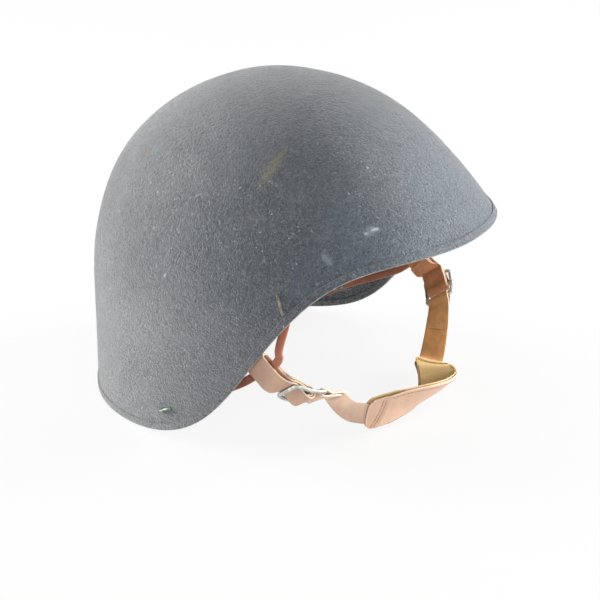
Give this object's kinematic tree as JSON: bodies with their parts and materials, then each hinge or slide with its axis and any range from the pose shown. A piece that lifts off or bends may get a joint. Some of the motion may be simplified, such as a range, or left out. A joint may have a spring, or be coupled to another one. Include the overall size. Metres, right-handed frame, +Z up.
{
  "type": "gunner helmet",
  "caption": "Deep one-piece steel helmet with a raised brim, long cheeks and nape, sponge pads inside and a leather chin strap with a lined chin cup and slide buckles.",
  "frame": {"origin": "where the top of the head meets the underside of the crown pad, on the helmet's middle plane", "axes": "+Z up through the crown, -Y ahead through the brim, +X towards the wearer's left"},
  "size_m": [0.2596, 0.293, 0.234],
  "materials": {
    "shell_paint": "rough textured blue-grey paint, worn and scuffed",
    "staple_wire": "painted wire, worn dull",
    "thong_leather": "dark red-brown, polished by wear",
    "strap_leather": "taupe grain side, light cut edges",
    "buckle_metal": "dull nickel plate",
    "cup_leather": "pinkish beige, smooth",
    "lining_leather": "soft tan suede",
    "sponge": "sponge under thin cloth"
  },
  "bodies": {
    "helmet": {"shell": "shell_paint", "rim_band": "shell_paint", "front_staples": "staple_wire", "rear_staples": "staple_wire", "right_thong": "thong_leather", "left_thong": "thong_leather", "crown_pad": "sponge", "brow_pad": "sponge", "nape_pad": "sponge", "right_temple_pad": "sponge", "left_temple_pad": "sponge"},
    "chin_harness": {"right_strap": "strap_leather", "left_strap": "strap_leather", "right_buckle": "buckle_metal", "left_buckle": "buckle_metal", "right_tab": "strap_leather", "left_tab": "strap_leather", "chin_cup": "cup_leather", "chin_cup_lining": "lining_leather"}
  },
  "joints": [
    {"name": "harness_swing", "type": "hinge", "parent": "helmet", "child": "chin_harness", "pos_m": [0, -0.0525, -0.1468], "axis": [1, 0, 0], "range_deg": [-10, 10]}
  ]
}
